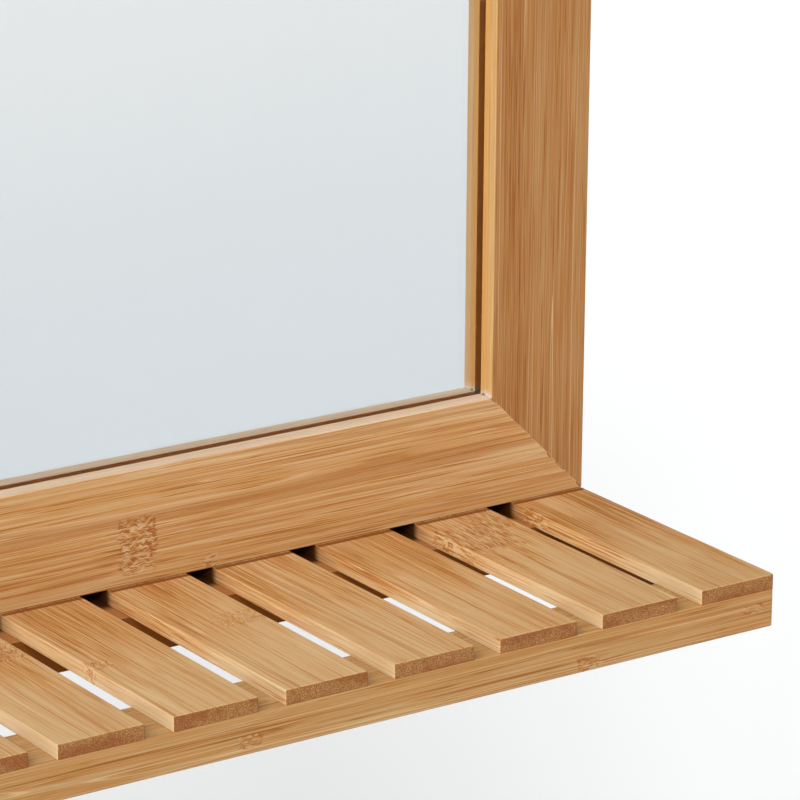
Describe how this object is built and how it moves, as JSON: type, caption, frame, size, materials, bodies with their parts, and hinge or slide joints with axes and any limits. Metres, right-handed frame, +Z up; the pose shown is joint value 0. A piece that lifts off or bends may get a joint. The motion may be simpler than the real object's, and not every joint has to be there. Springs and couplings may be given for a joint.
{
  "type": "mirror with shelf",
  "caption": "Upright wall mirror in a mitred bamboo frame, with a slatted bamboo shelf along its bottom and keyhole hangers at the back.",
  "frame": {"origin": "on the wall plane (the back of the frame), halfway between the centres of the two keyhole hangers' round entries", "axes": "+X to the right along the shelf as seen from the front, +Y into the wall, +Z up"},
  "size_m": [0.5, 0.1185, 0.7],
  "materials": {
    "bamboo_rail": "satin clear lacquer, grain along the rail",
    "bamboo_stile": "satin clear lacquer, narrow side-pressed strips",
    "bamboo_slat": "satin clear lacquer, grain from back to front",
    "spline_wood": "bare, glued in",
    "dowel_wood": "bare, glued in",
    "glass": "clear float glass, ground edge",
    "silvering": "silvered, protective paint behind",
    "hardboard": "pressed fibre board, plain",
    "plate_steel": "zinc plated",
    "screw_steel": "zinc plated"
  },
  "bodies": {
    "root": {"top_rail": "bamboo_rail", "bottom_rail": "bamboo_rail", "left_stile": "bamboo_stile", "right_stile": "bamboo_stile", "corner_splines": "spline_wood", "mirror_glass": "glass", "mirror_silvering": "silvering", "backing_board": "hardboard", "board_screws": "screw_steel", "left_hanger": "plate_steel", "right_hanger": "plate_steel", "hanger_screws": "screw_steel", "front_rail": "bamboo_rail", "rear_rail": "bamboo_rail", "left_side_rail": "bamboo_rail", "right_side_rail": "bamboo_rail", "side_rail_dowels": "dowel_wood", "slat_screws": "screw_steel", "frame_screws": "screw_steel", "slat_01": "bamboo_slat", "slat_02": "bamboo_slat", "slat_03": "bamboo_slat", "slat_04": "bamboo_slat", "slat_05": "bamboo_slat", "slat_06": "bamboo_slat", "slat_07": "bamboo_slat", "slat_08": "bamboo_slat", "slat_09": "bamboo_slat", "slat_10": "bamboo_slat", "slat_11": "bamboo_slat", "slat_12": "bamboo_slat", "slat_13": "bamboo_slat"}
  },
  "joints": []
}
